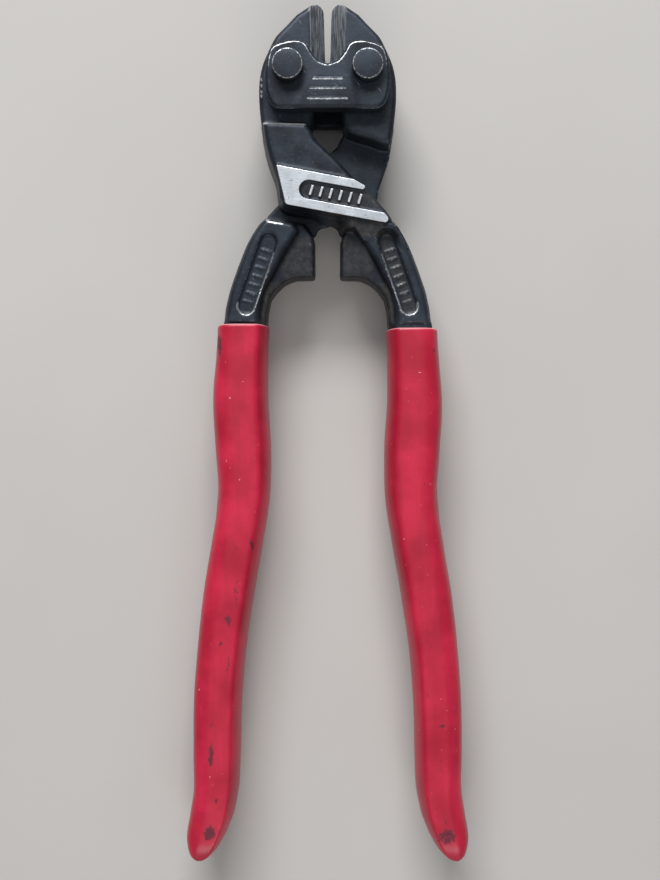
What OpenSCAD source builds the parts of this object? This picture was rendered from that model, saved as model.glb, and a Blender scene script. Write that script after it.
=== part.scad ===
// Compact bolt cutters: two crossing forged levers, each one jaw and the opposite handle,
// turning on two pins that two link plates hold apart. Lengths are in millimetres.
//
// Frame: +X right, +Y towards the jaws, +Z up through the thickness. The tool lies on its
// back pin heads at z = 0, and the origin is the middle of the bottom of its bounding box.
// The shapes below are drawn about a point on the centreline at mid-thickness, just below
// the pins, and in_frame() moves them to that origin.

/* [Overall] */
// From the drawing's centre, just below the pins, to the jaw tips
jaw_len = 17.8; // [14.8:0.1:21.4]
// From the drawing's centre to the ends of the grips
handle_len = 181.6; // [165:0.1:220]
// Length of a grip sleeve
grip_len = 124.3; // [103:0.1:140]

/* [Pivots] */
// Distance between the two pivot pins
pin_spacing = 18.2; // [15.6:0.1:22]
// Diameter of a pivot pin
pin_d = 6.2; // [5.1:0.1:7.5]
// How far a riveted pin head stands out around its shank
head_rim = 0.45; // [0.3:0.05:0.8]
// Height of a pin head above its link plate
head_h = 2.4; // [1.6:0.1:3.2]
// Radial running clearance of a lever on its pin
pin_clearance = 0.04; // [0.02:0.01:0.08]

/* [Levers] */
// Thickness of the jaws and hubs, between the link plates
lever_t = 10.7; // [9:0.1:13]
// Metal beside each pin, from the pin centre to the outer edge
cheek = 6.75; // [5.8:0.05:8]
// Height of the crossing lap above the hub faces
lap_rise = 2.8; // [2.2:0.1:3.3]
// Height of the ground band above the lap
band_rise = 0.5; // [0.3:0.1:0.8]
// Gap between the two laps where they cross
lap_gap = 0.3; // [0.2:0.05:0.5]
// Half width of the levers at the waist
waist_w = 10.9; // [10.2:0.1:12.5]
// Thickness of the handle rails
rail_t = 12; // [10:0.1:13.6]
// Thickness of the thinner gripping lugs and webs
web_t = 8; // [6.6:0.1:9.4]
// Gap between the gripping lugs as the tool lies
lug_gap = 5.7; // [4.7:0.1:7]
// Height of the gripping lugs along the tool
lug_h = 8.3; // [6.9:0.1:10]
// Chamfer of the forged edges
edge_soft = 0.8; // [0.4:0.1:1]
// How much wider a forged side is at mid-thickness than at its face
draft = 0.8; // [0.4:0.1:1]
// The same for the squarer gripping lugs and webs
web_draft = 0.3; // [0.1:0.1:1]

/* [Jaw edges] */
// Gap between the cutting edges at the tips
tip_gap = 1.77; // [1.4:0.01:2.2]
// Gap between the cutting edges at their inner ends
root_gap = 1.0; // [0.8:0.01:1.3]
// Width of the bevel on each face of a cutting edge
bevel_w = 3.3; // [2.6:0.1:4]
// Thickness of the blunt land on a cutting edge
edge_land = 0.3; // [0.2:0.05:0.6]

/* [Link plates] */
// Thickness of a link plate
plate_t = 3.7; // [3.1:0.1:4.5]
// Gap between a link plate and the levers
face_gap = 0.15; // [0.1:0.01:0.3]
// Margin of a link plate outside the pin centres
plate_margin = 5.2; // [4.8:0.1:5.8]

/* [Grips] */
// Width of a grip sleeve at its middle
grip_w = 12.2; // [11:0.1:14]
// Thickness of a grip sleeve
grip_t = 14; // [13.6:0.1:17]
// Wall of a grip sleeve at its sides
grip_wall = 1.6; // [1.3:0.1:2]
// Clearance between a sleeve and the steel in it
sleeve_gap = 0.05; // [0.02:0.01:0.1]
// Solid length at the far end of a sleeve
grip_tip = 14; // [10:0.5:20]
// Distance from the centreline to the top of a grip's axis
grip_x = 19.7; // [18:0.1:23]

/* [Hidden] */
$fn = 64;

steel = [0.16, 0.18, 0.21];
dark_steel = [0.2, 0.22, 0.26];
red_plastic = [0.78, 0.16, 0.24];

pin_x = pin_spacing / 2;
pin_y = 0.8;
pin_r = pin_d / 2;
head_r = pin_r + head_rim;
hub_x = pin_x + cheek;
hub_z = lever_t / 2;
lap_z = hub_z + lap_rise;
plate_z = hub_z + face_gap;
plate_top_z = plate_z + plate_t;
head_z = plate_top_z + head_h;
gap_z = lap_gap / 2;
rail_z = rail_t / 2;
web_z = web_t / 2;
grip_top = grip_len - handle_len;
origin_y = (handle_len - jaw_len) / 2;

// Cutting edges: a straight, slightly open line from the root to just under the tip.
edge_root_y = 3.6;
edge_tip_y = jaw_len - 1.2;
edge_slope = (tip_gap - root_gap) / 2 / (edge_tip_y - edge_root_y);
tip_x = 2.3;

// Meshing teeth on the hubs, which keep both levers in step.
tooth_pitch = 30;
tooth_rest = -6.1;
tooth_add = 1.2;
tooth_ded = 1.4;
pressure = 20;
flank_gap = 0.12;

// Lap, rail and lug corners, along the tool from the drawing's centre.
lap_top_y = -11.25;
lap_low_y = -30.4;
step_y = -32.9;
arch_y = -33.9;
lug_top_y = -38.1;
lug_low_y = lug_top_y - lug_h;

// Slot in the ground band: its round left end, length, slope, and how far its floor lies
// below the lap's face.
slot_a = [-4.3, -27];
slot_len = 20;
slot_tilt = -10.3;
slot_r = 2.2;
slot_d = 0.3;

// Half width and depth of the long recesses in the handle faces
recess_r = 1.9;
recess_d = 0.8;

// ---- helpers ----

function unit(v) = v / norm(v);
function mix(a, b, t) = a + (b - a) * t;
function polar(r, a) = [r * cos(a), r * sin(a)];
function reversed(p) = [for (i = [len(p) - 1 : -1 : 0]) p[i]];

// Points along an arc
function arc(c, r, a0, a1, n) = [for (k = [0 : n]) c + polar(r, mix(a0, a1, k / n))];

// One span of a smooth curve through b and c
function span(a, b, c, d, t) =
    (2 * b + (c - a) * t + (2 * a - 5 * b + 4 * c - d) * t * t
     + (3 * b - a - 3 * c + d) * t * t * t) / 2;

// A smooth curve through every point of p, with n steps between neighbours
function curve(p, n = 3) =
    let (last = len(p) - 1)
    concat([for (i = [0 : last - 1]) for (k = [0 : n - 1])
            span(p[max(i - 1, 0)], p[i], p[i + 1], p[min(i + 2, last)], k / n)],
           [p[last]]);

// A counter-clockwise outline moved inward by d
function inset(p, d) =
    let (n = len(p))
    [for (i = [0 : n - 1])
        let (u = unit(p[i] - p[(i + n - 1) % n]), v = unit(p[(i + 1) % n] - p[i]))
        p[i] + d * [-(u[1] + v[1]), u[0] + v[0]] / max(1 + u * v, 0.5)];

// A closed skin over equal rings of points
module skin(rings) {
    n = len(rings[0]);
    top = (len(rings) - 1) * n;
    points = [for (ring = rings) for (p = ring) p];
    sides = [for (k = [0 : len(rings) - 2]) for (i = [0 : n - 1])
        [k * n + i, (k + 1) * n + i, (k + 1) * n + (i + 1) % n, k * n + (i + 1) % n]];
    caps = [[for (i = [0 : n - 1]) i], [for (i = [n - 1 : -1 : 0]) top + i]];
    polyhedron(points, concat(sides, caps));
}

function lift(p, z) = [for (q = p) [q[0], q[1], z]];

// Keeps what lies between two heights, so that faces there are whole and flat
over = 0.1;
module between(z0, z1) {
    intersection() {
        children();
        translate([-100, -300, z0]) cube([200, 400, z1 - z0]);
    }
}

// A flat piece from z0 to z1 with chamfers c0 below and c1 above
module soft_plate(outline, z0, z1, c0, c1) {
    between(z0, z1)
        skin([lift(inset(outline, c0 + over), z0 - over), lift(outline, z0 + c0),
              lift(outline, z1 - c1), lift(inset(outline, c1 + over), z1 + over)]);
}

// A forged piece, widest at mid-thickness by d, with chamfered faces h from the middle
module forged(outline, h, c, d) {
    side = inset(outline, d);
    face = inset(outline, d + c + over);
    between(-h, h)
        skin([lift(face, -h - over), lift(side, c - h), lift(outline, 0),
              lift(side, h - c), lift(face, h + over)]);
}

// The upper half of a forged piece, from z0 up to h
module half_forged(outline, z0, h, c) {
    between(z0, h)
        skin([lift(outline, z0 - over), lift(inset(outline, draft), h - c),
              lift(inset(outline, draft + c + over), h + over)]);
}

// A capsule-shaped block from a to b, centred on z = 0
module capsule(a, b, r, h) {
    translate([a[0], a[1], 0]) cylinder(r = r, h = h, center = true);
    translate([b[0], b[1], 0]) cylinder(r = r, h = h, center = true);
    middle = (a + b) / 2;
    translate([middle[0], middle[1], 0])
        rotate([0, 0, atan2(b[1] - a[1], b[0] - a[0])])
            cube([norm(b - a), 2 * r, h], center = true);
}

module in_frame() {
    translate([0, origin_y, head_z]) children();
}

// ---- lever outlines, for the lever with the left jaw and the right handle ----

function edge_x(y) = -(root_gap / 2 + edge_slope * (y - edge_root_y));

// Outer edge of the jaw: shares of the way from the tip out to the hub and down to it
jaw_low_y = -3;
jaw_shares = [[0.15, 0.925], [0.36, 0.835], [0.51, 0.73], [0.67, 0.625], [0.75, 0.555],
              [0.85, 0.42], [0.94, 0.28], [0.985, 0.15]];
jaw_outer = [for (s = jaw_shares)
    [-mix(tip_x, hub_x, s[0]), mix(jaw_low_y, jaw_len, s[1])]];
jaw_tip = [[edge_x(edge_tip_y), edge_tip_y], [-1.3, jaw_len - 0.35], [-tip_x, jaw_len],
           jaw_outer[0]];

// Involute flank of a hub tooth
pitch_r = pin_x;
base_r = pitch_r * cos(pressure);
function roll(r) = sqrt(pow(r / base_r, 2) - 1) * 180 / PI - acos(base_r / r);
function half_tooth(r) =
    tooth_pitch / 4 - flank_gap / pitch_r * 90 / PI + roll(pitch_r) - roll(r);
root_r = pitch_r - tooth_ded;
crown_r = pitch_r + tooth_add;
flank_r = [for (k = [0 : 4]) mix(max(root_r, base_r), crown_r, k / 4)];

// One tooth at angle a about the hub, listed in order of rising angle
function tooth(a) = concat(
    [polar(root_r, a - half_tooth(flank_r[0]) - 0.6)],
    [for (r = flank_r) polar(r, a - half_tooth(r))],
    [for (k = [4 : -1 : 0]) polar(flank_r[k], a + half_tooth(flank_r[k]))],
    [polar(root_r, a + half_tooth(flank_r[0]) + 0.6)]);

// Jaw, hub and arm down to the step that clears the other lever's lap
hub_low_a = -38;
hub_high_a = 20;
upper_outline = concat(
    [[edge_x(edge_root_y), edge_root_y]],
    jaw_tip,
    curve(concat([for (i = [1 : len(jaw_outer) - 1]) jaw_outer[i]],
                 [[-hub_x, jaw_low_y + 1.2], [-hub_x - 0.05, -5], [-hub_x + 0.25, -9],
                  [-hub_x + 0.85, -13.5], [-hub_x + 1.3, -16]]), 2),
    [[-12.3, -15.7], [-9.9, -14.7], [-7.1, -13.9], [-4.8, -13.1], [-3.7, -11.4], [-3.1, -8]],
    arc([-pin_x, pin_y], root_r, hub_low_a, hub_high_a, 6));

// Lap that crosses over the other lever
lap_outer = curve([[-hub_x + 1.05, lap_top_y], [-hub_x + 2, -17.4], [-hub_x + 3.2, -21.2],
                   [-waist_w - 0.4, -25], [-waist_w, -28.4]], 2);
lap_inner = [[14.6, -33.4], [13.4, -31.6], [10.9, -28.9], [8.5, -26.5], [6.2, -24.4],
             [3.55, -21.5], [0.7, -18.7], [-2.8, -15.4], [-3.7, -13.5], [-5, lap_top_y - 0.4]];
lap_outline = concat(lap_outer, [[-waist_w + 0.7, lap_low_y + 0.6], [-9.3, lap_low_y],
                     [13, lap_low_y - 4.2], [15, -35]], lap_inner);

// Handle from the neck down to the top of the grip
handle_outer = concat(
    curve([[waist_w + 1.9, -30], [gw(9.6), -32.2], [gw(7.5), -35.1], [gw(5.6), -38.4],
           [gw(3.3), -44.1], [gw(1.4), neck_y(0.3)]], 2),
    [[gw(0.55), neck_y(0.65)], [gw(0), grip_top - 1]]);
function gw(dx) = grip_x + 4.8 - dx;
// A height on the bare neck, as a share of the way from the lug down to the grip
function neck_y(share) = mix(lug_low_y, grip_top, share);
strip_x = grip_x - 5.6;
rail_in = concat(
    [[grip_x - 4.5, grip_top - 1], [grip_x - 4.85, neck_y(0.62)]],
    curve([[grip_x - 5.7, neck_y(0.31)], [11.9, -46.2], [10.1, -42.7], [8.1, -39.3],
           [5.9, -35.9]], 2));
lug_x = lug_gap / 2;
web_in = concat(
    [[strip_x, grip_top - 1], [strip_x - 0.3, neck_y(0.72)]],
    curve([[strip_x - 1, neck_y(0.44)], [strip_x - 2.3, neck_y(0.275)],
           [9.9, neck_y(0.11)], [7.4, lug_low_y - 0.15]], 3),
    [[lug_x, lug_low_y], [lug_x, lug_top_y]]);
function below(p, y) = [for (q = p) if (q[1] < y) q];

rail_outline = reversed(concat(rail_in, [[7.5, step_y - 0.4], [9.6, step_y],
                      [14.2, step_y + 0.85]], below(handle_outer, step_y - 0.6)));
web_outline = reversed(concat(web_in, [[3.3, -36.6], [5.4, step_y - 0.8], [9.6, step_y],
                     [14.2, step_y + 0.85]], below(handle_outer, step_y - 0.6)));
neck_outline = reversed(
    [[8.3, -39.8], [5.7, -36.4], [lug_x - 0.1, -36.2], [2.2, -34.8], [1.2, -34.1], [0, arch_y],
     [-2.5, -33], [-4.8, -31.4], [-4.8, -26.5], [8.5, -27], [waist_w + 1.9, -30],
     [gw(9.6), -32.2], [gw(7.5), -35.1], [gw(4.8), -40]]);

// Centreline of a grip and of the steel in it: share of the length, sideways, half width
grip_line = [[0, 0, 0], [0.05, 0.3, 0.05], [0.14, 0.7, 0.45], [0.23, 0.1, 0.5],
             [0.32, -0.1, 0.05], [0.41, 1.5, 0], [0.5, 3.4, -0.05], [0.6, 5, -0.3],
             [0.7, 6, -0.4], [0.8, 6.25, -0.5], [0.87, 6.35, -0.75], [0.92, 7.4, -0.9],
             [0.955, 8.6, -1.4]];
grip_curve = curve(grip_line, 2);
function grip_point(s, side) =
    [grip_x + s[1] + side * (grip_w / 2 + s[2]), grip_top - s[0] * grip_len];
shank_share = 1 - grip_tip / grip_len;
shank_rows = [for (s = grip_curve) if (s[0] < shank_share) s];
function shank_side(side, grow) =
    [for (s = shank_rows)
        grip_point(s, side) - [side * (grip_wall - grow), 0]];
function shank_outline(grow) =
    let (out = shank_side(1, grow), low = len(out) - 1, in_side = shank_side(-1, grow),
         foot = [0, -1.2 - grow], head = [0.9, 2.6])
    concat([in_side[0] + head], in_side, [in_side[low] + foot + [1.4, 0]],
           [out[low] + foot - [1.4, 0]], [for (i = [low : -1 : 0]) out[i]],
           [out[0] + [-head[0], head[1]]]);
shank_z = rail_z - 0.6;

// A sector of the hub with its teeth, a little thinner than the hub
module hub_teeth(teeth) {
    sector = concat([[0, 0], polar(root_r, hub_low_a)], [for (a = teeth) each tooth(a)],
                    [polar(root_r, hub_high_a)]);
    translate([-pin_x, pin_y, 0])
        linear_extrude(lever_t - 3 * edge_soft, center = true) polygon(sector);
}

module cutting_bevel(face) {
    depth = hub_z - edge_land / 2;
    translate([edge_x(edge_root_y), edge_root_y, 0])
        rotate([90, 0, atan(edge_slope)])
            translate([0, 0, -jaw_len])
                linear_extrude(jaw_len)
                    polygon([[0.6, face * edge_land / 2], [0, face * edge_land / 2],
                             [-bevel_w, face * (edge_land / 2 + depth)],
                             [-bevel_w, face * (hub_z + 1)], [0.6, face * (hub_z + 1)]]);
}

// The bright ground band across the lap, before its slot is cut
module ground_band() {
    linear_extrude(lap_rise / 2 + band_rise)
        polygon(concat(
            [[-11.7, -21.25]],
            arc([-8.9, -29.6], 0.9, 160, 260, 5),
            [[13.2, -34.5]],
            arc([13.2, -33.7], 0.8, -70, 60, 4),
            [[8.4, -26.8], [7.9, -26.1], [6, -24.5]]));
}

module lever(teeth) {
    difference() {
        union() {
            soft_plate(upper_outline, -hub_z, hub_z, edge_soft, edge_soft);
            hub_teeth(teeth);
            half_forged(inset(lap_outline, -draft), gap_z, lap_z, edge_soft);
            half_forged(neck_outline, gap_z, rail_z - 0.2, edge_soft);
            forged(rail_outline, rail_z, edge_soft, draft);
            forged(web_outline, web_z, edge_soft / 2, web_draft);
            soft_plate(shank_outline(0), -shank_z, shank_z, 1, 1);
            translate([0, 0, lap_z - lap_rise / 2]) ground_band();
        }
        translate([-pin_x, pin_y, 0])
            cylinder(r = pin_r + pin_clearance, h = lever_t + 2, center = true);
        cutting_bevel(1);
        cutting_bevel(-1);
        // long shallow recesses in both faces of the handle
        for (side = [-1, 1])
            translate([0, 0, side * rail_z])
                capsule([gw(10.9), lug_top_y - 0.3], [gw(5.7), neck_y(0.62)], recess_r, 2 * recess_d);
        // slot in the ground band, open at the right between two prongs
        translate([0, 0, lap_z - slot_d + band_rise])
            capsule(slot_a, slot_a + polar(slot_len, slot_tilt), slot_r, 2 * band_rise);
    }
}

module front_lever() {
    color(steel) in_frame() lever([tooth_rest]);
}

module back_lever() {
    color(steel) in_frame() rotate([0, 180, 0])
        lever([tooth_rest - tooth_pitch / 2, tooth_rest + tooth_pitch / 2]);
}

// Half of a link plate's edge, from the notch bottom round to the middle of the foot
plate_x = pin_x + plate_margin;
plate_half = concat(
    curve([[0, 1.7], [2.1, 2.4], [3.65, 4.3], [4.6, 6.1], [6.3, 7], [9, 7],
           [plate_x - 1.8, 5.8], [plate_x - 0.7, 4], [plate_x - 0.2, 1.3], [plate_x, -2.4],
           [plate_x - 0.7, -6.3], [plate_x - 2.4, -8.4], [plate_x - 5, -8.6]], 2));
plate_outline = concat(
    reversed(plate_half),
    [for (i = [1 : len(plate_half) - 1]) [-plate_half[i][0], plate_half[i][1]]]);

module link_plate() {
    difference() {
        soft_plate(plate_outline, 0, plate_t, 0.2, 0.6);
        for (side = [-1, 1])
            translate([side * pin_x, pin_y, -1]) cylinder(r = pin_r, h = plate_t + 2);
        // three fine steps across the middle land
        for (k = [0 : 2])
            translate([0, -2.3 - 2.2 * k, plate_t])
                rotate([-12, 0, 0])
                    cube([6.6 + 1.2 * k, 1.7, 0.5], center = true);
    }
}

module front_link_plate() {
    color(dark_steel) in_frame() translate([0, 0, plate_z]) link_plate();
}

module back_link_plate() {
    color(dark_steel) in_frame() rotate([0, 180, 0]) translate([0, 0, plate_z]) link_plate();
}

module pivot_pin() {
    crown = 0.5;
    in_frame()
        rotate_extrude()
            polygon([[0, -head_z], [head_r - crown, -head_z], [head_r, -head_z + crown],
                     [head_r, -plate_top_z], [pin_r, -plate_top_z], [pin_r, plate_top_z],
                     [head_r, plate_top_z], [head_r, head_z - crown],
                     [head_r - crown, head_z], [0, head_z]]);
}

module left_pivot_pin() {
    color(dark_steel) translate([-pin_x, pin_y, 0]) pivot_pin();
}

module right_pivot_pin() {
    color(dark_steel) translate([pin_x, pin_y, 0]) pivot_pin();
}

// One ring of a grip: a rounded section across the tool at share s of its length
grip_ring_n = 24;
function grip_ring(s, shrink) =
    let (half_w = grip_w / 2 + s[2] - shrink, half_t = grip_t / 2 - shrink)
    [for (k = [0 : grip_ring_n - 1])
        let (a = k * 360 / grip_ring_n, c = cos(a), d = sin(a))
        [grip_x + s[1] + half_w * sign(c) * pow(abs(c), 0.72),
         grip_top - s[0] * grip_len,
         half_t * sign(d) * pow(abs(d), 0.72)]];

module grip() {
    lip = 0.008;
    end_rows = [[0.98, 9.3, -2.6, 1.2], [0.993, 9.8, -3.6, 2.1], [1, 10.1, -4.4, 3.6]];
    difference() {
        skin(concat(
            [grip_ring(grip_line[0], 0.5)],
            [grip_ring([lip, 0.05, 0], 0)],
            [for (i = [1 : len(grip_curve) - 1]) grip_ring(grip_curve[i], 0)],
            [for (r = end_rows) grip_ring(r, r[3] - 1.2)]));
        soft_plate(shank_outline(sleeve_gap), -shank_z - sleeve_gap, shank_z + sleeve_gap, 1, 1);
    }
}

module right_grip() {
    color(red_plastic) in_frame() grip();
}

module left_grip() {
    color(red_plastic) in_frame() rotate([0, 180, 0]) grip();
}

front_lever();
back_lever();
front_link_plate();
back_link_plate();
left_pivot_pin();
right_pivot_pin();
left_grip();
right_grip();
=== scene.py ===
"""Compact bolt cutters lying flat, seen from above.

Sizes below are millimetres about a point on the centreline at mid-thickness, PIN_Y below the
two pivot pins, with +Y towards the jaws. The back pieces are the front ones turned over about Y.
"""

import math

import bmesh
import bpy
import numpy as np
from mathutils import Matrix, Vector, noise


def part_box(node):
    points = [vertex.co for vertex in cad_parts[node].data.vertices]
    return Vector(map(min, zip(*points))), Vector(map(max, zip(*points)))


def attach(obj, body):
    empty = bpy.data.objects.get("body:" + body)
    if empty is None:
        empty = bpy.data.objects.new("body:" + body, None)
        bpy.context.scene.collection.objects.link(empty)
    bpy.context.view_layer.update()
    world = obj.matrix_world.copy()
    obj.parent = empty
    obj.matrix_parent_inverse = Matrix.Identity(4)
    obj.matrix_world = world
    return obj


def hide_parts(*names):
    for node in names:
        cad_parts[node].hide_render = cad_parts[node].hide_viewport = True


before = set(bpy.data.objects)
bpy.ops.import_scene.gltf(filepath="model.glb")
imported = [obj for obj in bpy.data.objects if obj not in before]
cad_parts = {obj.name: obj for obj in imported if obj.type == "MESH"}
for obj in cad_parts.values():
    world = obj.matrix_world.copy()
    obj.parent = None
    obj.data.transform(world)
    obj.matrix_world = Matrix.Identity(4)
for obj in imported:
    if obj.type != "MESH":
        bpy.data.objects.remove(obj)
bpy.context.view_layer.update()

MM = 0.001
FRONT, BACK = 1, -1


def middle(*nodes):
    """Centre of the box round some CAD nodes."""
    boxes = [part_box(n) for n in nodes]
    low = Vector([min(b[0][k] for b in boxes) for k in range(3)])
    high = Vector([max(b[1][k] for b in boxes) for k in range(3)])
    return (low + high) / 2


PIN_Y = 0.8
centre = middle("left_pivot_pin", "right_pivot_pin") - Vector((0, PIN_Y * MM, 0))
pin_x = (middle("right_pivot_pin").x - centre.x) / MM
head_r = (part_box("right_pivot_pin")[1].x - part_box("right_pivot_pin")[0].x) / 2 / MM
head_z = (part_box("right_pivot_pin")[1].z - centre.z) / MM
plate_top_z = (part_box("front_link_plate")[1].z - centre.z) / MM
band_top_z = (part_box("front_lever")[1].z - centre.z) / MM
grip_low, grip_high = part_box("right_grip")
grip_top_y = (grip_high.y - centre.y) / MM
grip_len = (grip_high.y - grip_low.y) / MM
grip_half_t = (grip_high.z - grip_low.z) / 2 / MM

BAND_RISE = 0.5
BAND_THICK = 0.34
# The forging's face lies this far under the band's face
BAND_SINK = 0.28
RAIL_Z = 6.0
# Lowest point of the band at its left end
BAND_FOOT = (-8.85, -30.6)
SLOT_LEFT = (-4.3, -27.0)
SLOT_R = 2.2
TILT = -10.3
# Fine lines across the plate's middle land: place along Y, half length
STEP_LINES = ((-2.0, 3.2), (-4.2, 4.0), (-6.5, 4.5))


# ---- mesh helpers ----

def placed(points, side=FRONT):
    """Millimetres to metres in the row frame, turned over for a back piece."""
    p = np.asarray(points, float) * (side, 1, side)
    return p * MM + np.array(centre)


def local(mesh, side=FRONT):
    """The mesh's points in millimetres, as the front piece has them."""
    co = np.empty(len(mesh.vertices) * 3)
    mesh.vertices.foreach_get("co", co)
    return (co.reshape(-1, 3) - np.array(centre)) / MM * (side, 1, side)


def normals(mesh, side=FRONT):
    n = np.empty(len(mesh.vertices) * 3)
    mesh.vertex_normals.foreach_get("vector", n)
    return n.reshape(-1, 3) * (side, 1, side)


def move_to(mesh, points, side=FRONT):
    mesh.vertices.foreach_set("co", placed(points, side).ravel())
    mesh.update()


def add_object(name, mesh, body, material, replaced=()):
    obj = bpy.data.objects.new(name, mesh)
    bpy.context.scene.collection.objects.link(obj)
    mesh.materials.clear()
    mesh.materials.append(material)
    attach(obj, body)
    if replaced:
        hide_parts(*replaced)
    return obj


def from_points(name, points, faces, side=FRONT, smooth=True):
    mesh = bpy.data.meshes.new(name)
    mesh.from_pydata([tuple(p) for p in placed(points, side)], [], faces)
    mesh.validate()
    bm = bmesh.new()
    bm.from_mesh(mesh)
    bmesh.ops.recalc_face_normals(bm, faces=bm.faces)
    bm.to_mesh(mesh)
    bm.free()
    mesh.polygons.foreach_set("use_smooth", [smooth] * len(mesh.polygons))
    return mesh


def evaluated(name, mesh, *modifiers):
    """A new mesh: the given one with modifiers applied, each a (type, settings) pair."""
    obj = bpy.data.objects.new("work_" + name, mesh)
    bpy.context.scene.collection.objects.link(obj)
    for kind, settings in modifiers:
        m = obj.modifiers.new(kind.title(), kind)
        for key, value in settings.items():
            setattr(m, key, value)
    graph = bpy.context.evaluated_depsgraph_get()
    done = bpy.data.meshes.new_from_object(obj.evaluated_get(graph))
    done.name = name
    bpy.data.objects.remove(obj)
    return done


def remeshed(name, node, voxel, rounds):
    """A CAD node's shape as a fine even mesh with softly rounded edges."""
    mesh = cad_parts[node].data.copy()
    bm = bmesh.new()
    bm.from_mesh(mesh)
    bmesh.ops.remove_doubles(bm, verts=bm.verts, dist=0.002 * MM)
    bm.to_mesh(mesh)
    bm.free()
    fine = evaluated(name, mesh,
                     ("REMESH", {"mode": "VOXEL", "voxel_size": voxel * MM}),
                     ("SMOOTH", {"factor": 0.5, "iterations": rounds}))
    fine.polygons.foreach_set("use_smooth", [True] * len(fine.polygons))
    return fine


def convexity(mesh):
    """How far each point stands out from its neighbours, in edge lengths; edges are above 0."""
    n = len(mesh.vertices)
    co = np.empty(n * 3)
    mesh.vertices.foreach_get("co", co)
    co = co.reshape(-1, 3)
    ends = np.empty(len(mesh.edges) * 2, int)
    mesh.edges.foreach_get("vertices", ends)
    ends = ends.reshape(-1, 2)
    total, count = np.zeros((n, 3)), np.zeros(n)
    for a, b in ((0, 1), (1, 0)):
        for k in range(3):
            total[:, k] += np.bincount(ends[:, a], co[ends[:, b], k], n)
        count += np.bincount(ends[:, a], minlength=n)
    step = np.linalg.norm(co[ends[:, 0]] - co[ends[:, 1]], axis=1).mean()
    away = co - total / np.maximum(count, 1)[:, None]
    return (away * normals(mesh)).sum(1) / step


def grain(points, scale, seed=0.0):
    """Smooth noise from -1 to 1 with features about scale millimetres across."""
    p = points / scale + seed
    return np.array([noise.noise(Vector(q)) for q in p])


def store(mesh, name, values):
    attribute = mesh.attributes.new(name, "FLOAT", "POINT")
    attribute.data.foreach_set("value", np.clip(values, 0, 1).astype(np.float32))


def ease(x, low, high):
    t = np.clip((x - low) / (high - low), 0, 1)
    return t * t * (3 - 2 * t)


def zone(p, x0, x1, y0, y1, soft=0.6):
    """1 inside a rectangle in X and Y, fading to 0 just outside it."""
    inside_x = ease(p[:, 0], x0 - soft, x0) * (1 - ease(p[:, 0], x1, x1 + soft))
    inside_y = ease(p[:, 1], y0 - soft, y0) * (1 - ease(p[:, 1], y1, y1 + soft))
    return inside_x * inside_y


def near_line(p, a, b, width):
    """1 on the line from a to b in X and Y, falling to 0 at width from it."""
    a, b = np.array(a, float), np.array(b, float)
    d = b - a
    t = np.clip(((p[:, :2] - a) @ d) / (d @ d), 0, 1)
    away = np.linalg.norm(p[:, :2] - (a + t[:, None] * d), axis=1)
    return 1 - ease(away, width * 0.35, width)


def strongest(*layers):
    """The highest of several values at each point."""
    return np.maximum.reduce(layers)


def arc(cx, cy, r, a0, a1, n):
    """Points on an arc from angle a0 to a1, in degrees."""
    return [(cx + r * math.cos(math.radians(a0 + (a1 - a0) * k / n)),
             cy + r * math.sin(math.radians(a0 + (a1 - a0) * k / n))) for k in range(n + 1)]


# ---- materials ----

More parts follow.
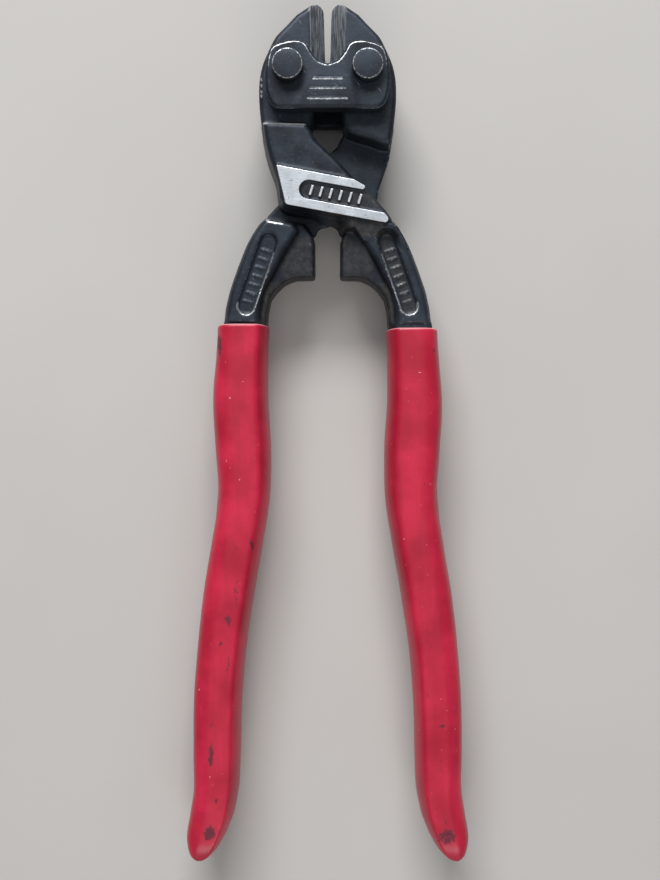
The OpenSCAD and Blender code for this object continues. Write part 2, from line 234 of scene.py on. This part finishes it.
class Nodes:
    """A short way to write a material's node tree."""

    def __init__(self, name):
        self.material = bpy.data.materials.new(name)
        self.material.use_nodes = True
        self.tree = self.material.node_tree
        self.shader = self.tree.nodes["Principled BSDF"]
        self.where = self.add("ShaderNodeTexCoord").outputs["Object"]

    def add(self, kind, **settings):
        node = self.tree.nodes.new(kind)
        for key, value in settings.items():
            setattr(node, key, value)
        return node

    def link(self, source, socket):
        if hasattr(source, "is_output"):
            self.tree.links.new(source, socket)
        else:
            socket.default_value = source

    def attribute(self, name):
        return self.add("ShaderNodeAttribute", attribute_name=name).outputs["Fac"]

    def stretched(self, scale, angle=0.0):
        """Object coordinates in millimetres, scaled along X, Y and Z after a turn about Z."""
        mapping = self.add("ShaderNodeMapping", vector_type="POINT")
        turn = self.add("ShaderNodeVectorRotate", rotation_type="Z_AXIS")
        turn.inputs["Angle"].default_value = math.radians(angle)
        self.link(self.where, turn.inputs["Vector"])
        self.link(turn.outputs["Vector"], mapping.inputs["Vector"])
        mapping.inputs["Scale"].default_value = [k / MM for k in scale]
        return mapping.outputs["Vector"]

    def noise(self, scale, angle=0.0, detail=3.0, rough=0.55):
        """Noise with one feature per millimetre times scale, along each axis."""
        if not isinstance(scale, tuple):
            scale = (scale, scale, scale)
        texture = self.add("ShaderNodeTexNoise")
        self.link(self.stretched(scale, angle), texture.inputs["Vector"])
        texture.inputs["Scale"].default_value = 1.0
        texture.inputs["Detail"].default_value = detail
        texture.inputs["Roughness"].default_value = rough
        return texture.outputs["Fac"]

    def math(self, operation, a, b=0.0, clamp=False):
        node = self.add("ShaderNodeMath", operation=operation, use_clamp=clamp)
        self.link(a, node.inputs[0])
        self.link(b, node.inputs[1])
        return node.outputs[0]

    def between(self, value, low, high, out_low=0.0, out_high=1.0):
        node = self.add("ShaderNodeMapRange", interpolation_type="SMOOTHSTEP")
        self.link(value, node.inputs["Value"])
        for socket, number in zip(("From Min", "From Max", "To Min", "To Max"),
                                  (low, high, out_low, out_high)):
            self.link(number, node.inputs[socket])
        return node.outputs["Result"]

    def mix(self, share, a, b):
        node = self.add("ShaderNodeMix", data_type="RGBA")
        self.link(share, node.inputs["Factor"])
        self.link((*a, 1) if isinstance(a, tuple) else a, node.inputs["A"])
        self.link((*b, 1) if isinstance(b, tuple) else b, node.inputs["B"])
        return node.outputs["Result"]

    def blend(self, share, a, b):
        node = self.add("ShaderNodeMix", data_type="FLOAT")
        for socket, value in (("Factor", share), ("A", a), ("B", b)):
            self.link(value, node.inputs[socket])
        return node.outputs["Result"]

    def bump(self, *layers):
        """Bumps stacked from (height, depth in millimetres) pairs."""
        normal = None
        for height, depth in layers:
            node = self.add("ShaderNodeBump")
            node.inputs["Strength"].default_value = 1.0
            node.inputs["Distance"].default_value = depth * MM
            self.link(height, node.inputs["Height"])
            if normal:
                self.link(normal, node.inputs["Normal"])
            normal = node.outputs["Normal"]
        self.link(normal, self.shader.inputs["Normal"])


def blackened_steel():
    """Forged steel with a black oxide skin: blue-black, brown where thin, bare on worn edges, and
    bare-steel lines that paint a highlight along some lit edges.
    """
    m = Nodes("blackened_steel")
    cloud = m.noise(0.16, detail=4)
    fine = m.noise(3.2, detail=2)
    # share of bare steel: real rubbed wear, plus painted highlight lines on lit lever and plate edges
    worn = m.attribute("wear_and_highlight")
    warm = m.attribute("warm")
    streak = m.attribute("streak")
    skin = m.mix(m.between(cloud, 0.3, 0.7), (0.007, 0.010, 0.015), (0.020, 0.027, 0.038))
    skin = m.mix(m.attribute("pale"), skin, (0.034, 0.044, 0.060))
    mottled = m.between(m.noise(1.3, detail=5, rough=0.8), 0.52, 0.72, 0, 0.5)
    skin = m.mix(mottled, skin, (0.052, 0.060, 0.070))
    rust = m.between(m.noise(0.7, detail=5), 0.3, 0.7)
    brown = m.mix(rust, (0.012, 0.012, 0.013), (0.052, 0.047, 0.043))
    skin = m.mix(m.math("MULTIPLY", warm, 0.85), skin, brown)
    lines = m.noise((3.2, 0.22, 1.2), detail=4, rough=0.7)
    filed = m.mix(m.between(lines, 0.35, 0.68), (0.055, 0.066, 0.080), (0.34, 0.36, 0.38))
    skin = m.mix(streak, skin, filed)
    scratch = m.noise((0.35, 5.5, 1.0), angle=52, detail=2)
    scratch = m.between(scratch, 0.68, 0.76, 0, 0.35)
    patchy = m.between(m.noise(0.25), 0.45, 0.6)
    scratch = m.math("MULTIPLY", scratch, patchy)
    specks = m.between(m.noise(2.6, detail=1), 0.70, 0.80, 0, 0.16)
    bare = m.math("ADD", worn, m.between(m.noise(1.8, detail=4, rough=0.7), 0.3, 0.75, -0.26, 0.26))
    bare = m.between(bare, 0.25, 0.85)
    bare = m.math("MAXIMUM", bare, m.math("MAXIMUM", scratch, m.math("MULTIPLY", specks, warm)))
    colour = m.mix(bare, skin, (0.50, 0.51, 0.52))
    m.link(colour, m.shader.inputs["Base Color"])
    m.link(m.between(bare, 0, 1, 0.55, 0.9), m.shader.inputs["Metallic"])
    rough = m.blend(cloud, 0.40, 0.56)
    rough = m.math("ADD", rough, m.between(fine, 0.3, 0.7, -0.04, 0.05))
    m.link(m.blend(bare, rough, 0.36), m.shader.inputs["Roughness"])
    m.bump((m.noise(0.55, detail=4), 0.05), (fine, 0.012),
           (m.math("MULTIPLY", lines, streak), 0.05))
    return m.material


def ground_steel():
    """Bare ground steel with fine grinding lines along its slant and small dark pits."""
    m = Nodes("ground_steel")
    lines = m.noise((0.12, 4.5, 1.0), angle=-TILT, detail=5, rough=0.7)
    cloud = m.noise(0.28, detail=3)
    pits = m.between(m.noise(1.5, detail=4, rough=0.75), 0.60, 0.70, 0, 0.6)
    colour = m.mix(m.between(lines, 0.3, 0.7), (0.46, 0.48, 0.50), (0.80, 0.83, 0.86))
    colour = m.mix(m.between(cloud, 0.35, 0.65, 0, 0.5), colour, (0.38, 0.40, 0.42))
    colour = m.mix(pits, colour, (0.08, 0.08, 0.08))
    m.link(colour, m.shader.inputs["Base Color"])
    m.shader.inputs["Metallic"].default_value = 0.9
    m.link(m.between(lines, 0.3, 0.7, 0.46, 0.30), m.shader.inputs["Roughness"])
    m.bump((lines, 0.02), (cloud, 0.03))
    return m.material


def red_plastic():
    """Dipped soft plastic: glossy crimson, darker where handled, with black rubbed marks and a pale
    painted highlight line along the lip.
    """
    m = Nodes("red_plastic")
    cloud = m.noise(0.09, detail=4)
    fine = m.noise(1.6, detail=3)
    along = m.noise((0.35, 0.03, 0.35), detail=3)
    colour = m.mix(m.between(cloud, 0.3, 0.7), (0.36, 0.006, 0.026), (0.54, 0.014, 0.050))
    colour = m.mix(m.between(along, 0.45, 0.7, 0, 0.3), colour, (0.27, 0.006, 0.020))
    # pale pink painted highlight line along the sleeve's lip
    colour = m.mix(m.math("MULTIPLY", m.attribute("rim"), 0.6), colour, (0.90, 0.42, 0.45))
    mark = m.attribute("scuff")
    ragged = m.noise((1.4, 0.8, 1.4), detail=5, rough=0.75)
    mark = m.math("ADD", mark, m.between(ragged, 0.25, 0.75, -0.42, 0.42))
    mark = m.between(mark, 0.34, 0.85)
    colour = m.mix(m.math("MULTIPLY", mark, 0.8), colour, (0.035, 0.012, 0.020))
    pale = m.between(m.noise(1.1, detail=2), 0.735, 0.77, 0, 0.5)
    colour = m.mix(pale, colour, (0.85, 0.55, 0.55))
    m.link(colour, m.shader.inputs["Base Color"])
    rough = m.between(cloud, 0.3, 0.7, 0.34, 0.44)
    m.shader.inputs["Specular IOR Level"].default_value = 0.36
    m.link(m.blend(mark, rough, 0.62), m.shader.inputs["Roughness"])
    m.shader.inputs["Coat Weight"].default_value = 0.12
    m.shader.inputs["Coat Roughness"].default_value = 0.22
    m.shader.inputs["Subsurface Weight"].default_value = 0.08
    m.shader.inputs["Subsurface Radius"].default_value = (0.0016, 0.0004, 0.0003)
    m.bump((along, 0.06), (fine, 0.010))
    return m.material


def floor_material():
    m = Nodes("studio_floor")
    colour = m.mix(m.noise(0.01), (0.43, 0.41, 0.385), (0.49, 0.47, 0.445))
    m.link(colour, m.shader.inputs["Base Color"])
    m.shader.inputs["Roughness"].default_value = 0.85
    return m.material


BLACK, BARE, RED = blackened_steel(), ground_steel(), red_plastic()


# ---- levers ----

RECESS_TOP, RECESS_LOW = np.array((13.6, -38.4)), np.array((18.8, -53.2))
RECESS_LEN = float(np.linalg.norm(RECESS_LOW - RECESS_TOP))
RECESS_R = 1.95
RIBS = 7.5
RIB_RISE = 0.30
# Small nicks on the left edge of the hub
NICKS_Y = (-0.6, -1.9, -3.4, -4.4)


def recess_place(p):
    """Share of the way down the long recess, distance across it (inner side below 0) and from
    its centreline."""
    run = (RECESS_LOW - RECESS_TOP) / RECESS_LEN
    away = p[:, :2] - RECESS_TOP
    t, across = away @ run / RECESS_LEN, away @ np.array((-run[1], run[0]))
    return t, across, np.hypot(across, RECESS_LEN * (t - np.clip(t, 0, 1)))


def slope_below_band(p, beyond):
    """Below the band the handle's side runs down to the rail in a slope, clear of the recess."""
    foot_x, foot_y = BAND_FOOT
    below = foot_y - (p[:, 0] - foot_x) * math.tan(math.radians(-TILT)) - p[:, 1]
    high = band_top_z - BAND_RISE - 0.3
    slope = high - (high - RAIL_Z) * ease(below, 0.2, 4.4)
    lift = np.maximum(slope - p[:, 2], 0) * ease(p[:, 0], 2.0, 5.5) * ease(below, -0.6, 0)
    lift = lift * (1 - ease(below, 4.2, 4.6)) * ease(beyond, 1.9, 3.0)
    p[:, 2] += lift * ease(p[:, 2], 4.6, 5.4)


def recess_ribs(p, t, across):
    """1 on the plain cross ribs on the recess's floor, which stand there instead of lettering."""
    in_recess = (1 - ease(np.abs(across), 0.9, 1.3)) * ease(np.abs(p[:, 2]), 4.6, 5.0)
    ends = ease(t, 0.05, 0.1) * (1 - ease(t, 0.92, 0.97))
    rib = ease(np.cos(math.tau * RIBS * t), 0.45, 0.9) * ends
    return rib * in_recess * (np.abs(p[:, 2]) < 5.7)


def lever_wear_and_highlight(p, out, recess, rib, chafed):
    """Where the black skin is rubbed through to bare steel, and where bare steel paints a highlight
    line along the lap's top and left edges and the neck step.
    """
    t, across, beyond = recess
    z = p[:, 2]
    edge = ease(out, 0.035, 0.12)
    top, lap_high = ease(z, 4.0, 4.6), ease(z, 7.2, 7.7)
    rail_high = ease(np.abs(z), 4.8, 5.3)
    # bright bare lines along the lap's top and left edges: partly rubbed wear, partly a painted
    # highlight on edges facing the window light
    lap_edge_wear_and_highlight = strongest(
        1.2 * near_line(p, (-14.7, -11.35), (-5.2, -11.6), 0.8) * ease(z, 6.6, 7.0),
        1.2 * near_line(p, (-15, -11.6), (-14.6, -13.8), 0.7) * edge,
        0.52 * near_line(p, (-5.1, -12), (14, -33), 1.2) * edge * lap_high)
    jaw_edges = strongest(
        0.46 * edge * zone(p, -16, -1, 4, 18.5) * top,
        0.32 * edge * zone(p, -17, -11, -28, 4),
        0.95 * near_line(p, (-1.9, 3.9), (-1.6, 5.0), 0.45) * top)
    nicks = [0.9 * near_line(p, (-15.4, y), (-15.2, y - 0.5), 0.3) * top for y in NICKS_Y]
    # the neck step's corner line on the back lever: partly wear, partly a painted highlight
    neck_step_wear_and_highlight = near_line(p, (10.6, -33.9), (13.8, -33.4), 0.9) * (z < -4.6)
    rail_edges = 0.30 * edge * zone(p, 5, 25, -58, -36) * rail_high
    # the long recess: bright along its inner side and round its lower end
    rim = 1 - ease(np.abs(beyond - RECESS_R), 0.12, 0.42)
    inner = ease(-across, 0.4, 1.4) * ease(t, 0.02, 0.2) * (1 - ease(t, 1.0, 1.05))
    foot = ease(t, 0.97, 1.0)
    recess_edge = rim * np.maximum(0.72 * inner, 0.85 * foot) * ease(np.abs(z), 5.1, 5.6)
    return strongest(lap_edge_wear_and_highlight, jaw_edges, *nicks, 0.9 * neck_step_wear_and_highlight * ease(out, 0.0, 0.06),
                     rail_edges, recess_edge, 0.30 * rib, 0.20 * chafed)


def lever_warmth(p, beyond):
    """Where the skin is thin and brown: the lugs, webs, recesses and the slot's floor."""
    z = p[:, 2]
    thin = 1 - ease(np.abs(z), 4.6, 5.4)
    slot_floor = near_line(p, SLOT_LEFT, (12, -30), SLOT_R + 0.2) * ease(z, 7.0, 7.6)
    return strongest(
        0.62 * zone(p, 2, 9.5, -47, -37.5, 1.5) * thin,
        0.9 * zone(p, 11, 16, -58, -48, 0.8) * thin,
        0.85 * zone(p, 1, 13, -37, -32.5, 1.0) * ease(z, 3, 5),
        0.6 * (1 - ease(beyond, 1.2, 1.7)) * (z > 4.5),
        0.6 * slot_floor)


def lever(name, node, body, side):
    """One forging: jaw, hub, lap, neck, lug, rail and the shank inside its grip."""
    mesh = remeshed(name, node, voxel=0.28, rounds=7)
    p = local(mesh, side)
    # the ground band is a piece of its own, so the forging stops just under it
    on_band = (p[:, 1] < -18) & (p[:, 1] > -37)
    p[on_band, 2] = np.minimum(p[on_band, 2], band_top_z - BAND_SINK)
    recess = t, across, beyond = recess_place(p)
    slope_below_band(p, beyond)
    # hammered unevenness of a forging, and none on the ground jaw faces or inside the grip
    rough_part = ease(-p[:, 1], 9, 14) * ease(p[:, 1], grip_top_y - 2, grip_top_y)
    n = normals(mesh, side)
    p += n * (0.05 * grain(p, 3.2, side) * rough_part)[:, None]
    rib = recess_ribs(p, t, across)
    p[:, 2] += RIB_RISE * rib * np.sign(p[:, 2])
    move_to(mesh, p, side)
    x, y, z = p.T
    chafed = ease(-y, 54.0, 56.8) * ease(np.abs(z), 4.8, 5.3)
    pale = 0.38 * ease(y, 5, 8) + 0.22 * ease(-y, 34, 38) * ease(np.abs(z), 4.2, 5)
    bevel = ease(x, -4.6, -4.0) * ease(y, 1.5, 2.5) * ease(0.94 - np.abs(n[:, 2]), 0, 0.06)
    store(mesh, "wear_and_highlight", lever_wear_and_highlight(p, convexity(mesh), recess, rib, chafed))
    store(mesh, "pale", pale + 0.5 * chafed)
    store(mesh, "warm", lever_warmth(p, beyond))
    store(mesh, "streak", bevel * (np.abs(z) < 5.3))
    return add_object(name, mesh, body, BLACK, (node,))


# Plain bars in the band's slot: count, first place, pitch, lean, half width and half height
BARS, BAR_START, BAR_PITCH, BAR_LEAN, BAR_W, BAR_H = 6, 0.6, 2.25, 0.12, 0.28, 1.15


def ground_band(name, body, side):
    """The bright ground face across the lap: a slot between two prongs, with plain bars in it."""
    t = math.radians(TILT)
    along, rise = Vector((math.cos(t), math.sin(t))), Vector((-math.sin(t), math.cos(t)))
    left = Vector(SLOT_LEFT)
    low_end = left + along * 17.9 - rise * SLOT_R
    high_end = left + along * 12.6 + rise * SLOT_R
    outline = [(-11.65, -21.45)]
    outline += arc(-8.85, -29.55, 0.9, 175, 258, 6)
    outline += arc(13.05, -33.7, 0.8, -100, 45, 8)
    outline += [tuple(low_end)]
    outline += arc(*SLOT_LEFT, SLOT_R, 270 + TILT, 90 + TILT, 20)
    outline += [tuple(high_end - along * 0.5)]
    outline += arc(8.1, -26.4, 0.45, -60, 40, 4)
    outline += [(6.0, -24.75)]
    n = len(outline)
    low_z, high_z = band_top_z - BAND_THICK, band_top_z
    points = [(x, y, z) for z in (low_z, high_z) for x, y in outline]
    sides = [(i, (i + 1) % n, n + (i + 1) % n, n + i) for i in range(n)]
    faces = sides + [tuple(range(n - 1, -1, -1)), tuple(range(n, 2 * n))]
    # plain bars stand in the slot, instead of raised lettering
    for k in range(BARS):
        foot = left + along * (BAR_START + BAR_PITCH * k)
        corners = [foot + along * (a + BAR_LEAN * b) + rise * b for a, b in
                   ((-BAR_W, -BAR_H), (BAR_W, -BAR_H), (BAR_W, BAR_H), (-BAR_W, BAR_H))]
        first = len(points)
        points += [(c.x, c.y, z) for z in (low_z - 0.5, high_z - 0.12) for c in corners]
        faces += [tuple(first + i for i in f) for f in
                  ((3, 2, 1, 0), (4, 5, 6, 7), (0, 1, 5, 4), (1, 2, 6, 5), (2, 3, 7, 6), (3, 0, 4, 7))]
    plain = from_points(name, points, faces, side, smooth=False)
    mesh = evaluated(name, plain, ("BEVEL", {"width": 0.09 * MM, "segments": 2,
                                             "limit_method": "ANGLE"}),
                     ("TRIANGULATE", {}))
    return add_object(name, mesh, body, BARE)


# ---- link plates and pins ----

def link_plate(name, node, side):
    """A plate with a soft edge, worn bright and painted with a highlight along its upper edges, sunk
    beside a flat middle land with three fine ridges.
    """
    mesh = remeshed(name, node, voxel=0.15, rounds=7)
    p = local(mesh, side)
    n = normals(mesh, side)
    x, y, z = p.T
    top = ease(z, plate_top_z - 1.6, plate_top_z - 0.5) * ease(n[:, 2], 0.3, 0.8)
    on_land = zone(p, -4.6, 4.6, -7.6, -1.0, 0.4) * top
    z = z + (plate_top_z - z) * on_land
    land = 1 - ease(np.abs(x) - 0.22 * (2 - y), 3.6, 6.0)
    low = ease(-y, -1.2, 3.0) * (1 - land)
    z = z - 0.30 * low * top
    for step_y, half in STEP_LINES:
        ridge = near_line(p, (-half, step_y), (half, step_y), 0.4)
        z = z + 0.05 * ridge * top
    p[:, 2] = np.minimum(z, plate_top_z)
    p += n * (0.025 * grain(p, 2.2, 5 * side))[:, None]
    p[:, 2] = np.minimum(p[:, 2], plate_top_z)
    move_to(mesh, p, side)
    edge = ease(convexity(mesh), 0.02, 0.08)
    x, y, z = p.T
    high = ease(z, plate_top_z - 1.0, plate_top_z - 0.5)
    lines = [0.67 * near_line(p, (-half, step_y), (half, step_y), 0.32) * top
             for step_y, half in STEP_LINES]
    # the upper edges get a strong bare line, partly wear and partly a painted highlight on the edges
    # facing the window light; the lowest edges get none
    wear_and_highlight = strongest(0.95 * edge * ease(y, 0.3, 1.4) * high,
                     0.34 * edge * high * ease(y, -6, -3), *lines,
                     0.12 * (1 - ease(np.abs(x), 4, 6)) * top)
    store(mesh, "wear_and_highlight", wear_and_highlight)
    store(mesh, "pale", 0.55 * (1 - ease(np.abs(x), 3.5, 7)) * (1 - ease(-y, 1, 7)))
    return add_object(name, mesh, "link", BLACK, (node,))


def pivot_pin(name, node, x):
    """A riveted pin turned from its profile: two heads with worn rims and slightly domed faces."""
    head_rim, dome, soft = 0.45, 0.12, 0.32
    shank_r = head_r - head_rim
    head = [(0, head_z), (head_r * 0.5, head_z - dome * 0.2), (head_r - soft - 0.25, head_z - dome)]
    head += [(head_r - soft + soft * math.sin(a), head_z - dome - 0.02 - soft * (1 - math.cos(a)))
             for a in [math.radians(15 * k) for k in range(1, 7)]]
    head += [(head_r, head_z - 1.2), (head_r, plate_top_z - 0.3), (shank_r, plate_top_z - 0.32)]
    profile = head + [(r, -z) for r, z in reversed(head)]
    turns = 96
    circle = [(math.cos(k * math.tau / turns), math.sin(k * math.tau / turns))
              for k in range(turns)]
    points = [(x + r * c, PIN_Y + r * s, z) for r, z in profile[1:-1] for c, s in circle]
    rows = len(profile) - 2
    faces = [(j * turns + k, j * turns + (k + 1) % turns, (j + 1) * turns + (k + 1) % turns,
              (j + 1) * turns + k) for j in range(rows - 1) for k in range(turns)]
    caps = [(x, PIN_Y, profile[0][1]), (x, PIN_Y, profile[-1][1])]
    top, low = len(points), len(points) + 1
    for k in range(turns):
        faces.append((top, k, (k + 1) % turns))
        faces.append((low, (rows - 1) * turns + (k + 1) % turns, (rows - 1) * turns + k))
    mesh = from_points(name, points + caps, faces)
    p = local(mesh)
    r = np.hypot(p[:, 0] - x, p[:, 1] - PIN_Y)
    at_face = ease(np.abs(p[:, 2]), head_z - 0.35, head_z - 0.2)
    store(mesh, "wear_and_highlight", 0.56 * ease(r, head_r - 0.36, head_r - 0.24) * at_face)
    store(mesh, "pale", np.full(len(p), 0.25))
    return add_object(name, mesh, "link", BLACK, (node,))


# ---- grips ----

# Centreline: share of the length, sideways from its top, change of half width
GRIP_X, GRIP_HALF = 19.7, 6.1
GRIP_LINE = ((0, 0, 0), (0.05, 0.3, 0.05), (0.14, 0.7, 0.45), (0.23, 0.1, 0.5),
             (0.32, -0.1, 0.05), (0.41, 1.5, 0), (0.5, 3.4, -0.05), (0.6, 5, -0.3),
             (0.7, 6, -0.4), (0.8, 6.25, -0.5), (0.87, 6.35, -0.75), (0.92, 7.4, -0.9),
             (0.955, 8.6, -1.4), (0.98, 9.3, -2.4), (0.993, 9.75, -3.5), (1.0, 10.1, -5.2))
# Half of the section from the outer side round the top: sideways, height, how it drops by the ridge
SECTION = ((1.0, 0.0, 0), (0.985, 0.30, 0), (0.93, 0.60, 0), (0.80, 0.84, 0.05),
           (0.62, 0.945, 0.07), (0.42, 0.985, 0.025), (0.26, 1.0, 0), (0.0, 0.995, 0.02),
           (-0.28, 0.98, 0.03), (-0.52, 0.965, 0.02), (-0.62, 0.93, 0), (-0.76, 0.76, 0),
           (-0.90, 0.52, 0), (-0.975, 0.26, 0), (-1.0, 0.0, 0))


def smooth_row(table, s):
    """Values at share s of a table whose first column is the share, on a smooth curve."""
    i = max(k for k in range(len(table) - 1) if table[k][0] <= s)
    a, b, c, d = (np.array(table[min(max(i + k, 0), len(table) - 1)][1:]) for k in (-1, 0, 1, 2))
    t = (s - table[i][0]) / (table[i + 1][0] - table[i][0])
    return (2 * b + (c - a) * t + (2 * a - 5 * b + 4 * c - d) * t**2
            + (3 * b - a - 3 * c + d) * t**3) / 2


def grip_ring(s, shrink, lip):
    """One ring of the sleeve at share s of its length, inset by shrink; its lip is moved by lip."""
    shift, wide = smooth_row(GRIP_LINE, s)
    half_w = GRIP_HALF + wide - shrink
    ridge = float(ease(s, 0.42, 0.75) * (1 - ease(s, 0.93, 1)))
    low = math.sqrt(max(0, 1 - float(ease(s, 0.94, 1.03)) ** 2 * 0.9))
    half_t = (grip_half_t - shrink) * low
    row = [(GRIP_X + shift + half_w * u, half_t * (w - drop * ridge)) for u, w, drop in SECTION]
    under = [(x, -z) for x, z in reversed(row[1:-1])]
    y = grip_top_y + lip - s * (grip_len + lip)
    return [(x, y, z) for x, z in row + under]


def grip(name, node, body, side, lip, scuffs):
    """A dipped sleeve: rounded lip, creased inner side, a low ridge and a flared closed end."""
    wall = 0.97
    shares = [k / 150 for k in range(1, 147)] + [0.982, 0.989, 0.994, 0.9975, 1.0]
    inside = [(s, wall) for s in (0.86, 0.6, 0.3, 0.1, 0.02)]
    turned_in = [(0.005, wall), (0.001, wall - 0.15), (0, 0.45), (0.0018, 0.14), (0.0048, 0.02)]
    outside = [(s, 0) for s in shares if s > 0.006]
    rings = [grip_ring(s, inset, lip) for s, inset in inside + turned_in + outside]
    n = len(rings[0])
    points = [p for ring in rings for p in ring]
    faces = [(j * n + k, j * n + (k + 1) % n, (j + 1) * n + (k + 1) % n, (j + 1) * n + k)
             for j in range(len(rings) - 1) for k in range(n)]
    faces += [tuple(range(n)), tuple(range(len(points) - 1, len(points) - n - 1, -1))]
    mesh = evaluated(name, from_points(name, points, faces, side),
                     ("SUBSURF", {"levels": 1, "render_levels": 1}))
    mesh.polygons.foreach_set("use_smooth", [True] * len(mesh.polygons))
    p = local(mesh, side)
    nrm = normals(mesh, side)
    uneven = (0.05 * grain(p, 9, 3 * side) - 0.05) * ease(grip_top_y - p[:, 1], 0.5, 3)
    p += nrm * uneven[:, None]
    move_to(mesh, p, side)
    x, y = p[:, 0], p[:, 1]
    # the band along the lip that red_plastic paints with a highlight line
    rim = 1 - ease(np.abs(y - grip_top_y - lip + 0.05), 0.12, 0.38)
    mark = np.zeros(len(p))
    for (cx, cy), half_wide, half_long, turn, strength in scuffs:
        t = math.radians(turn)
        a = (x - cx) * math.cos(t) + (y - cy) * math.sin(t)
        b = -(x - cx) * math.sin(t) + (y - cy) * math.cos(t)
        away = np.hypot(a / half_wide, b / half_long)
        mark = np.maximum(mark, strength * (1 - ease(away, 0.3, 1.25)) * (nrm[:, 2] * side > -0.2))
    store(mesh, "rim", rim)
    store(mesh, "scuff", mark)
    return add_object(name, mesh, body, RED, (node,))


# Rubbed marks: centre, half width, half length, turn in degrees, strength
RIGHT_SCUFFS = (
    ((21.4, -62.5), 1.4, 2.2, 0, 0.34), ((24.5, -63.5), 0.5, 1.2, 0, 0.5),
    ((23.2, -78), 0.6, 9, 3, 0.30), ((20.0, -92), 1.0, 2.4, 0, 0.30),
    ((22.2, -94.2), 0.3, 0.4, 0, 0.7), ((23.4, -131), 0.9, 1.9, 12, 0.42),
    ((23.0, -142.7), 0.42, 0.5, 0, 0.95), ((26.2, -149.7), 0.75, 0.7, 0, 1.0),
    ((26.0, -160), 0.3, 9, 0, 0.42), ((27.0, -171.5), 0.35, 3.5, 5, 0.6),
    ((27.4, -175.0), 2.9, 2.4, 20, 0.86))
LEFT_SCUFFS = (
    ((24.9, -62.2), 0.75, 3.4, -6, 1.0), ((24.0, -74.0), 0.35, 0.5, 0, 0.5),
    ((20.8, -80), 1.0, 2.4, 15, 0.38), ((19.6, -83), 0.35, 0.6, 0, 0.7),
    ((18.2, -91.4), 0.3, 0.4, 0, 0.9), ((23.9, -97), 0.6, 0.7, 0, 0.6),
    ((17.4, -108.0), 0.4, 2.6, -10, 0.95), ((21.5, -109), 0.8, 3.0, 0, 0.5),
    ((21.0, -119), 0.7, 6, 0, 0.55), ((22.9, -125.5), 0.9, 1.9, -10, 0.9),
    ((22.8, -134), 0.32, 8, 4, 0.72), ((24.4, -130.8), 0.5, 0.9, 0, 0.9),
    ((25.9, -139.6), 0.4, 0.7, 0, 0.8), ((26.8, -149.5), 0.4, 0.8, 0, 0.8),
    ((26.7, -156.5), 0.85, 3.5, 4, 1.0), ((25.6, -166.8), 0.7, 0.8, 0, 0.9),
    ((27.0, -174.3), 2.0, 2.3, 25, 1.0))


# ---- scene ----

def floor():
    mesh = bpy.data.meshes.new("studio_floor")
    half = 1.5
    mesh.from_pydata([(-half, -half, 0), (half, -half, 0), (half, half, 0), (-half, half, 0)],
                     [], [(0, 1, 2, 3)])
    obj = bpy.data.objects.new("studio_floor", mesh)
    bpy.context.scene.collection.objects.link(obj)
    mesh.materials.append(floor_material())


def area_light(name, place, size, energy, colour):
    data = bpy.data.lights.new(name, "AREA")
    data.shape = "RECTANGLE"
    data.size, data.size_y = size
    data.energy = energy
    data.color = colour
    obj = bpy.data.objects.new(name, data)
    bpy.context.scene.collection.objects.link(obj)
    obj.location = place
    obj.rotation_euler = (-Vector(place)).to_track_quat("-Z", "Y").to_euler()


def lights():
    area_light("window", (-0.15, 1.0, 0.80), (0.85, 0.4), 21.0, (0.97, 0.98, 1.0))
    area_light("fill", (0.10, -0.95, 0.85), (0.9, 0.5), 5.5, (1.0, 0.98, 0.95))
    area_light("ceiling", (0.0, 0.1, 1.3), (0.8, 0.8), 1.2, (0.92, 0.97, 1.0))
    world = bpy.data.worlds.new("soft_room")
    world.use_nodes = True
    world.node_tree.nodes["Background"].inputs["Color"].default_value = (0.88, 0.93, 1.0, 1)
    world.node_tree.nodes["Background"].inputs["Strength"].default_value = 0.27
    bpy.context.scene.world = world


def camera():
    """Straight down, a little below the middle of the tool."""
    data = bpy.data.cameras.new("camera")
    data.lens = 43.57
    data.clip_start = 0.01
    obj = bpy.data.objects.new("camera", data)
    bpy.context.scene.collection.objects.link(obj)
    obj.location = placed((0.55, -84.06, 251.0))
    bpy.context.scene.camera = obj


bpy.context.scene.view_settings.view_transform = "Standard"
camera()
lights()
floor()
lever("front_lever_forging", "front_lever", "front_lever", FRONT)
lever("back_lever_forging", "back_lever", "back_lever", BACK)
ground_band("front_ground_band", "front_lever", FRONT)
ground_band("back_ground_band", "back_lever", BACK)
link_plate("front_plate", "front_link_plate", FRONT)
link_plate("back_plate", "back_link_plate", BACK)
pivot_pin("left_pin", "left_pivot_pin", -pin_x)
pivot_pin("right_pin", "right_pivot_pin", pin_x)
grip("right_sleeve", "right_grip", "front_lever", FRONT, -0.9, RIGHT_SCUFFS)
grip("left_sleeve", "left_grip", "back_lever", BACK, 0.0, LEFT_SCUFFS)
